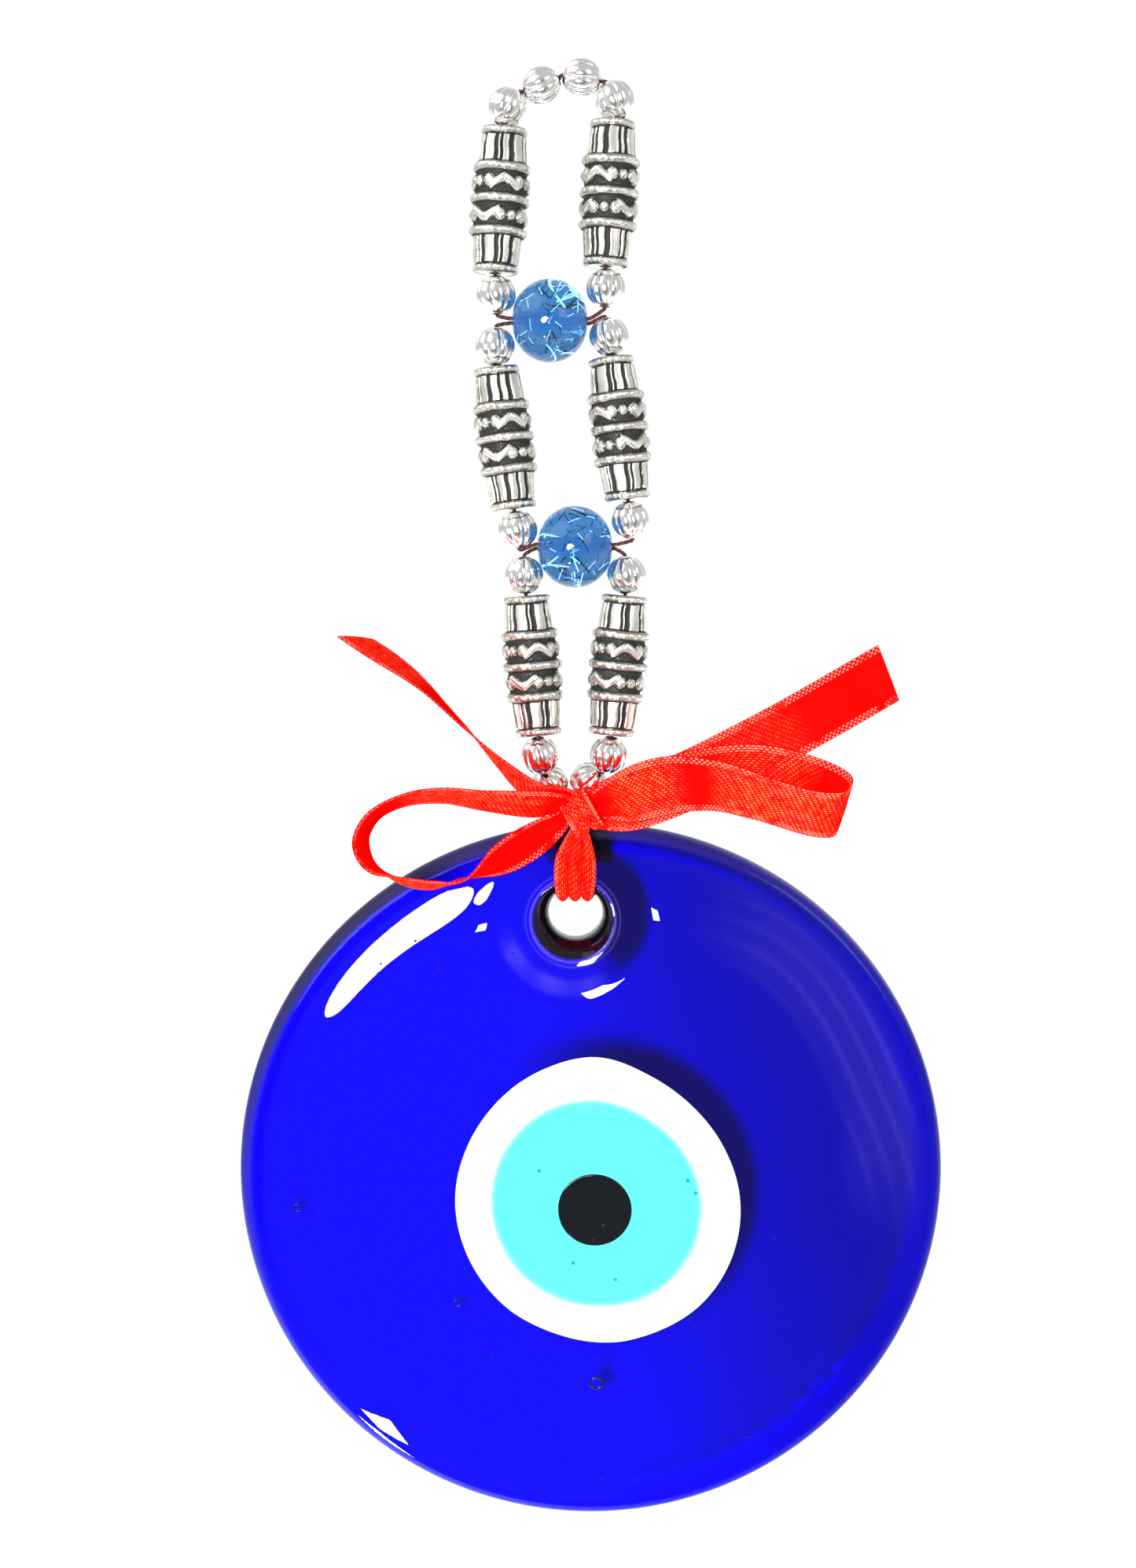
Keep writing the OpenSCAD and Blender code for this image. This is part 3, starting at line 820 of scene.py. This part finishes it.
def glass_disc():
    sides = 288
    a = np.linspace(0, 2 * np.pi, sides, endpoint=False)
    e = np.stack([np.cos(a), np.sin(a)], -1)
    rings = []

    def add(centre, radius, y):
        p = centre + radius * e
        yy = y(p[:, 0], p[:, 1]) if callable(y) else np.full(sides, float(y))
        rings.append(np.stack([p[:, 0], yy, p[:, 1]], -1))

    back = DISC_Y + DISC_HALF

    def back_y(x, z):
        r = np.hypot(x - DISC[0], z - DISC[1])
        return back - 0.15 * smoothstep(46, 49, r) - 0.02 * np.sin(0.2 * x)

    lip = 5.75
    for s in np.linspace(0, 1, 120) ** 1.4:
        add((1 - s) * FUNNEL + s * DISC, (1 - s) * lip + s * FACE_R, front_y)
    rim_y = rings[-1][:, 1]
    for k in range(1, 20):
        t = k / 20 * np.pi
        y = (1 - np.cos(t)) / 2
        reach = FACE_R + (DISC_R - FACE_R) * np.sin(t) ** 0.8
        p = DISC + reach * e
        rings.append(np.stack([p[:, 0], rim_y + (back - 0.15 - rim_y) * y, p[:, 1]], -1))
    for s in np.linspace(1, 0, 50):
        add((1 - s) * HOLE + s * DISC, (1 - s) * 4.6 + s * FACE_R, back_y)
    for r, depth in ((4.2, 0.15), (3.9, 0.5), (3.8, 1.0), (3.8, 2.4), (3.85, 3.6)):
        add(HOLE, r, back - depth)
    wall = (
        (0.05, 3.84, 1.3), (0.2, 3.98, 0.7), (0.4, 4.2, 0.1), (0.6, 4.5, -0.4),
        (0.8, 4.9, -0.85), (0.93, 5.3, -1.2), (0.99, 5.6, -1.42),
    )
    for s, r, y in wall:
        add((1 - s) * HOLE + s * FUNNEL, r, y)
    p = np.array(rings)
    o = mesh_object("glass_disc_body", p.reshape(-1, 3), grid_faces(len(p), sides, True))
    shade = painted_glass_shade(p[..., 0], p[..., 2])
    # the hole's wall and the ring at its lip are painted near black: painted shade in the hole
    shade[-len(wall) - 5 : -1] = 2
    shade[-1] = 1.2
    set_values(o, "shade", shade)
    # the next value is painted violet reflection and highlight: rings round the hole, a crescent at the upper
    # right and a tongue under the hole
    h = np.hypot(p[..., 0] - FUNNEL[0], p[..., 2] - FUNNEL[1])
    lines = 1.3 * np.exp(-(((h - 6.0) / 0.15) ** 2)) + 0.45 * np.exp(-(((h - 6.7) / 0.12) ** 2))
    lines[-len(wall) - 60 :] = 0
    x, z = p[..., 0] - DISC[0], p[..., 2] - DISC[1]
    r, around = np.hypot(x, z), np.arctan2(z, x)
    streaks = 0.5 + 0.5 * np.sin(2.1 * r + 3 * np.sin(5 * around) + 9 * around)
    crescent = smoothstep(35, 40, r) * smoothstep(48, 45, r) * smoothstep(0.75, 0.35, np.abs(around - 0.5))
    lines += crescent * (0.06 + 0.09 * streaks**6)
    below_hole = np.arctan2(p[..., 2] - FUNNEL[1], p[..., 0] - FUNNEL[0])
    tongue = smoothstep(1.1, 0.5, np.abs(below_hole + 2.0)) * (0.7 + 0.3 * np.sin(9 * below_hole))
    lines += 0.3 * tongue * smoothstep(8.2, 9.0, h) * smoothstep(11.2, 10.6, h)
    set_values(o, "painted_violet_reflection", lines)
    # "edge" is painted dark shade on the rim, strongest at the upper left, and "dull" is where the rim neither
    # mirrors nor lets light through
    edge = smoothstep(48.2, 49.2, r) * np.clip(0.15 + 0.85 * np.cos(around - 2.3), 0.08, 1)
    set_values(o, "edge", edge)
    dull = smoothstep(46.2, 47.4, r) * np.clip(1.5 * np.cos(around - 2.3), 0, 1)
    dull += 0.8 * smoothstep(43.5, 46.5, r) * np.clip(1.6 * np.cos(around + 0.5), 0, 1)
    set_values(o, "dull", dull)
    return o


def bubbles():
    """Air bubbles that broke at the face of the glass: dark rings, and many dark pinpoints."""
    rng = random.Random(5)
    b = bmesh.new()
    for x, z, r in BUBBLES:
        at = Vector((x, float(front_y(x, z)) + 0.02, z))
        turn = np.linspace(0, 2 * np.pi, 40, endpoint=False)
        rings = []
        for v in turn:
            out = Vector((math.cos(v), 0, math.sin(v)))
            for w in range(8):
                c, d = math.cos(w * math.pi / 4), math.sin(w * math.pi / 4)
                rings.append(b.verts.new((at + out * r * (0.82 + 0.17 * c) + Vector((0, 0.1 * d, 0))) * MM))
        for k in range(40):
            for w in range(8):
                n, m = (k + 1) % 40 * 8, (w + 1) % 8
                b.faces.new((rings[8 * k + w], rings[8 * k + m], rings[n + m], rings[n + w]))
    for _ in range(70):
        a, r = rng.uniform(0, 6.283), 46 * math.sqrt(rng.random())
        x, z = DISC[0] + r * math.cos(a), DISC[1] + r * math.sin(a)
        if math.hypot(x - HOLE[0], z - HOLE[1]) > 9 and math.hypot(x - WHITE[0], z - WHITE[1]) > 22:
            at = Matrix.Translation(Vector((x, float(front_y(x, z)) + 0.03, z)) * MM)
            size = rng.choice([0.08, 0.11, 0.14, 0.2]) * MM
            bmesh.ops.create_icosphere(b, subdivisions=2, radius=size, matrix=at)
    mesh = bpy.data.meshes.new("bubbles")
    b.to_mesh(mesh)
    b.free()
    mesh.polygons.foreach_set("use_smooth", [True] * len(mesh.polygons))
    o = bpy.data.objects.new("glass_bubbles", mesh)
    bpy.context.scene.collection.objects.link(o)
    set_values(o, "shade", np.full(len(mesh.vertices), 1.35))
    return o


def drop(name, node, radii, low, high, dome, soft):
    """A flattened drop of glass, hand-shaped: radii go round its outline from the right, anticlockwise."""
    centre = middle(node)[[0, 2]]
    sides = 144
    a = np.linspace(0, 2 * np.pi, sides, endpoint=False)
    order = np.arange(-2, len(radii) + 3)
    fit = through(np.stack([order, np.take(radii, order, mode="wrap"), 0 * order], -1), 0.02)
    outline = np.interp(a * len(radii) / (2 * np.pi), fit[:, 0], fit[:, 1])
    rings = []
    rim = []
    e = np.stack([np.cos(a), 0 * a, np.sin(a)], -1)

    def add(r, y, value):
        rings.append(r[:, None] * e + (centre[0], y, centre[1]))
        rim.append(np.full(sides, value))

    for rho in (0.02, *np.linspace(0.1, 0.86, 12), 0.9, 0.93, 0.955, 0.975, 0.99, 1.0):
        y = high - dome * (1 - rho**2)
        bevel = 0.35 * (1 - math.sqrt(max(0, 1 - max(0, (rho - 0.955) / 0.045) ** 2)))
        add(outline * rho, y + bevel, float(smoothstep(1 - soft, 1, rho)))
    for rho in (1.0, 0.9, 0.5, 0.02):
        add(outline * rho, low, 1.0)
    o = mesh_object(name, np.array(rings).reshape(-1, 3), grid_faces(len(rings), sides, False))
    set_values(o, "rim", np.array(rim))
    return o


disc = glass_disc()
finish_piece(disc, "eye", ["glass_disc"], cobalt)
finish_piece(bubbles(), "eye", (), cobalt)
surface = DISC_Y - DISC_HALF
white_radii = [
    20.6, 19.6, 19.0, 19.2, 20.3, 20.1, 20.0, 20.1, 20.4, 20.6, 21.0, 21.5, 22.0, 21.9, 21.9, 21.4,
]
white = drop("white_drop", "white_glass", white_radii, surface + 1.6, surface - 0.12, 0.1, 0.03)
finish_piece(white, "eye", ["white_glass"], white_opal)
blue_radii = [15.8, 15.1, 14.8, 15.4, 15.7, 15.7, 15.7, 15.7, 15.9, 16.1, 16.5, 16.3]
blue = drop("turquoise_drop", "turquoise_glass", blue_radii, surface + 0.9, surface - 0.32, 0.06, 0.085)
finish_piece(blue, "eye", ["turquoise_glass"], turquoise_opal)
pupil_radii = [5.4, 5.1, 5.0, 5.2, 5.3, 5.5, 5.6, 5.6]
pupil = drop("pupil_drop", "pupil_glass", pupil_radii, surface + 0.5, surface - 0.45, 0.05, 0.04)
finish_piece(pupil, "eye", ["pupil_glass"], black_opal)

# ---------------------------------------------------------------- stage and light
floor_mesh = bpy.data.meshes.new("floor")
floor_mesh.from_pydata([(-5, -0.35, -0.6), (5, -0.35, -0.6), (5, 8, -0.6), (-5, 8, -0.6)], [], [(0, 1, 2, 3)])
floor = bpy.data.objects.new("floor", floor_mesh)
bpy.context.scene.collection.objects.link(floor)
pale = Shader("pale_floor")
pale.set(
    Base_Color=pale.mix(pale.noise(3, 3), (0.93, 0.93, 0.92), (0.96, 0.96, 0.955)),
    Roughness=0.8,
    Specular_IOR_Level=0.0,
    Emission_Color=(1, 1, 1),
    Emission_Strength=0.55,
)
floor.data.materials.append(pale.material)


def area_light(name, place, aim, size, power):
    data = bpy.data.lights.new(name, "AREA")
    data.shape = "RECTANGLE"
    data.size, data.size_y = size
    data.energy = power
    o = bpy.data.objects.new(name, data)
    bpy.context.scene.collection.objects.link(o)
    o.location = place
    o.rotation_euler = (Vector(aim) - Vector(place)).to_track_quat("-Z", "Y").to_euler()
    return o


def towards(x_degrees, z_degrees, distance, start=(-0.02, 0, -0.12)):
    """A place that far in front of the start, turned to the side and up by these angles."""
    side, up = math.radians(x_degrees), math.radians(z_degrees)
    ray = Vector((math.sin(side) * math.cos(up), -math.cos(side) * math.cos(up), math.sin(up)))
    return Vector(start) + distance * ray


for name, x, y, size in (("window", -0.03, 0, (0.31, 0.22)), ("window_end", 0.144, -0.05, (0.046, 0.065))):
    pane = area_light(name, towards(-13.2, 3.6, 0.8), (-0.02, 0, -0.12), size, 93 * size[0] * size[1])
    pane.data.shape = "ELLIPSE"
    pane.rotation_euler.rotate_axis("Z", math.radians(30))
    pane.location += pane.rotation_euler.to_matrix() @ Vector((x, y, 0))
area_light("low_window", towards(-19, -38, 0.45, (-0.03, 0, -0.19)), (-0.03, 0, -0.19), (0.03, 0.05), 0.25)
under_hole = (0.0076, 0, -0.1266)
area_light("hole_window", towards(-1.6, -4.0, 0.6, under_hole), under_hole, (0.027, 0.036), 0.16)
area_light("fill", (0.6, -0.7, 0.25), (0, 0, -0.12), (0.4, 0.5), 1.2)
area_light("top_panel", (-0.38, -0.12, 0.3), (0, 0, -0.08), (0.6, 0.4), 1.0)

world = bpy.data.worlds.new("studio")
bpy.context.scene.world = world
world.use_nodes = True
wt = world.node_tree
back = wt.nodes["Background"]
place = wt.nodes.new("ShaderNodeTexCoord")
dot = wt.nodes.new("ShaderNodeVectorMath")
dot.operation = "DOT_PRODUCT"
dot.inputs[1].default_value = Vector((-0.1, -1, -0.25)).normalized()
wt.links.new(place.outputs["Generated"], dot.inputs[0])
product = wt.nodes.new("ShaderNodeMath")
product.operation = "MULTIPLY"
for k, limits in enumerate(((-0.88, -0.45, 1.03, 0.6), (0.7, 0.93, 1.0, 0.3))):
    fall = wt.nodes.new("ShaderNodeMapRange")
    fall.interpolation_type = "SMOOTHSTEP"
    for name, v in zip(("From Min", "From Max", "To Min", "To Max"), limits):
        fall.inputs[name].default_value = v
    wt.links.new(dot.outputs["Value"], fall.inputs["Value"])
    wt.links.new(fall.outputs[0], product.inputs[k])
wt.links.new(product.outputs[0], back.inputs["Strength"])
back.inputs["Color"].default_value = (1, 1, 1, 1)
bpy.context.scene.view_settings.view_transform = "Standard"
